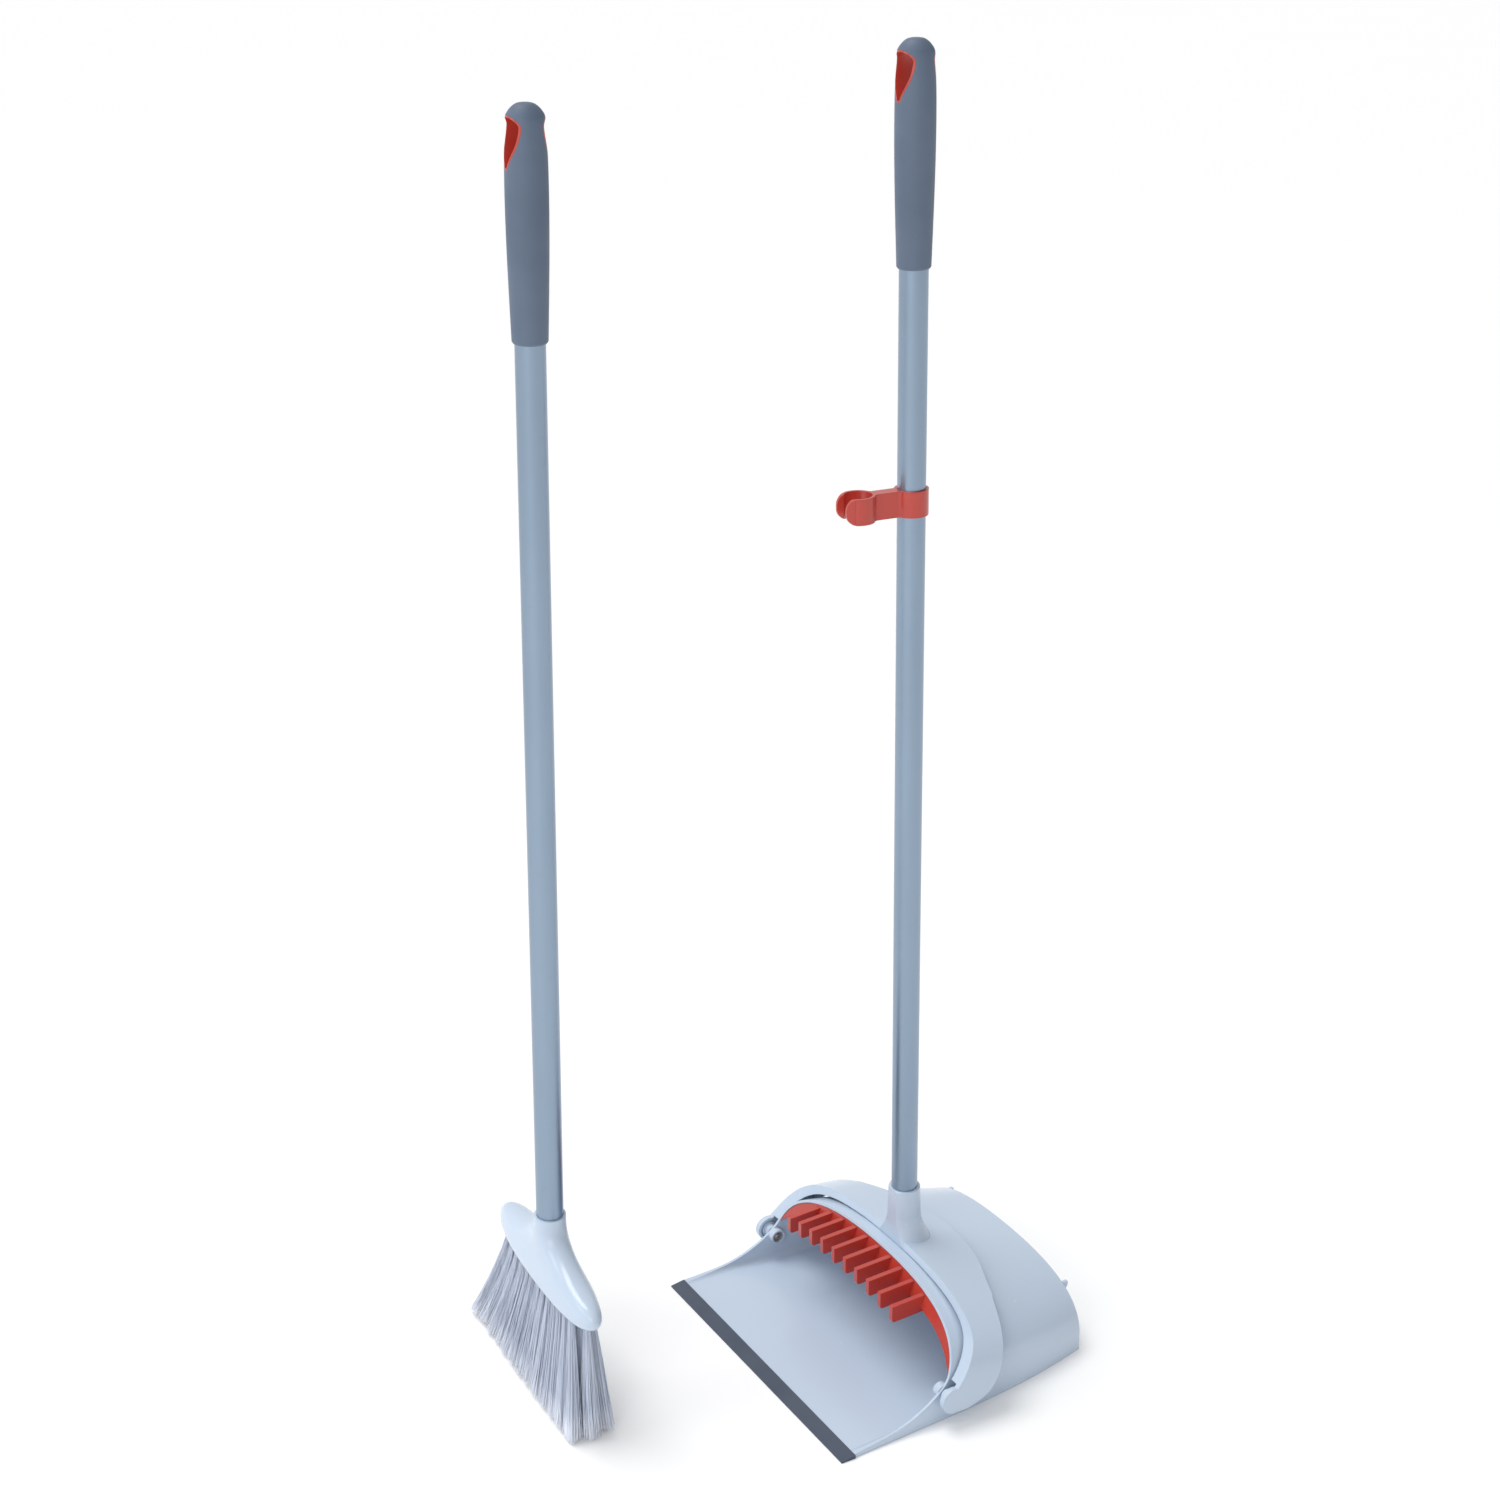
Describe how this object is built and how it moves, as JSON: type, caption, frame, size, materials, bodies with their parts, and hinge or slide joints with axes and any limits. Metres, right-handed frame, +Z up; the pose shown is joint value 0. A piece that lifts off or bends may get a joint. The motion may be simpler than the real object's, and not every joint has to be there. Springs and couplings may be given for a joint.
{
  "type": "dustpan and brush",
  "caption": "Upright hooded dustpan on a hinged yoke and long tube handle with a broom clip, beside its long-handled broom with a swept bristle pack.",
  "frame": {"origin": "on the floor under the pan, where the pan handle's axis meets the floor", "axes": "+Z up, -Y towards the pan's open lip and the broom, +X to the right when the pan's mouth is faced from behind its lip"},
  "size_m": [0.3191, 0.4004, 0.9809],
  "materials": {
    "pale_plastic": "satin to glossy moulded polypropylene, pale grey-blue",
    "slate_rubber": "matte soft thermoplastic rubber, slate grey",
    "red_plastic": "glossy moulded plastic, red",
    "tube_aluminium": "satin anodised, silver-blue",
    "white_plastic": "matte moulded plastic, off-white",
    "bristle": "pale grey-blue polyester bristle, tips split and softer",
    "steel": "zinc-plated steel"
  },
  "bodies": {
    "pan": {"pan_body": "pale_plastic", "lip_strip": "slate_rubber", "comb_insert": "red_plastic"},
    "handle": {"yoke": "pale_plastic", "pivot_washers": "steel", "pivot_screws": "steel", "pan_tube": "tube_aluminium", "pan_tube_plug": "white_plastic", "pan_grip_core": "red_plastic", "pan_grip_sleeve": "slate_rubber", "broom_clip": "red_plastic"},
    "broom": {"broom_head": "pale_plastic", "bristles_front": "bristle", "bristles_middle": "bristle", "bristles_rear": "bristle", "tuft_anchors": "steel", "broom_tube": "tube_aluminium", "broom_tube_plug": "white_plastic", "broom_grip_core": "red_plastic", "broom_grip_sleeve": "slate_rubber"}
  },
  "joints": [
    {"name": "pan_hinge", "type": "hinge", "parent": "pan", "child": "handle", "pos_m": [0, -0.0454, 0.023], "axis": [1, 0, 0], "range_deg": [0, 70]},
    {"name": "broom_lift", "type": "slide", "parent": "pan", "child": "broom", "axis": [0, 0, 1], "range_m": [0, 0.4]}
  ]
}
